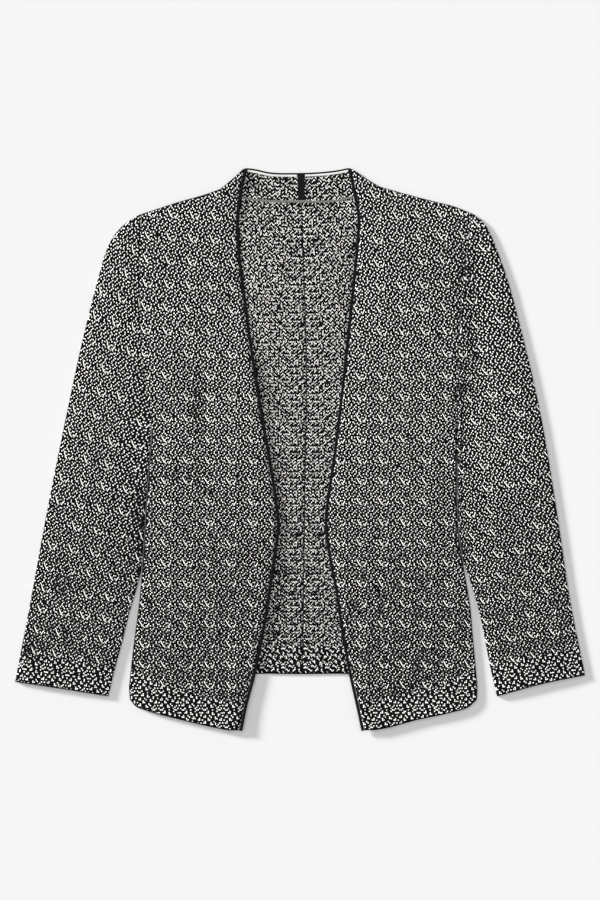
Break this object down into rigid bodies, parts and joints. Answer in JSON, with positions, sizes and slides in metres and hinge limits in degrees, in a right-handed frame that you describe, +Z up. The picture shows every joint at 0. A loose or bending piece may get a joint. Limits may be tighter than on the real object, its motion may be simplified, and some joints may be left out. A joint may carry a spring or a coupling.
{
  "type": "knit jacket laid flat",
  "caption": "Open-front knit jacket with long sleeves, a low standing collar and narrow black edge bands, laid flat on its back, front side up.",
  "frame": {"origin": "on the surface that the jacket lies on, under the middle of its outline", "axes": "+X to the wearer's left, +Y from the hem to the collar, +Z up from the surface to the jacket's front side"},
  "size_m": [0.729, 0.7197, 0.0064],
  "materials": {
    "knit": "black and off-white jacquard knit, matt",
    "black_band": "black rib-knit band, matt",
    "white_edge": "off-white knit edge, matt",
    "grey_tape": "pale grey woven tape, matt"
  },
  "bodies": {
    "root": {"back_left": "knit", "back_right": "knit", "front_left": "knit", "front_right": "knit", "sleeve_left": "knit", "sleeve_right": "knit", "binding_left": "black_band", "binding_right": "black_band", "collar_binding": "black_band", "collar_stripe_left": "white_edge", "collar_stripe_right": "white_edge", "collar_tape": "black_band", "neck_tape": "grey_tape"}
  },
  "joints": []
}
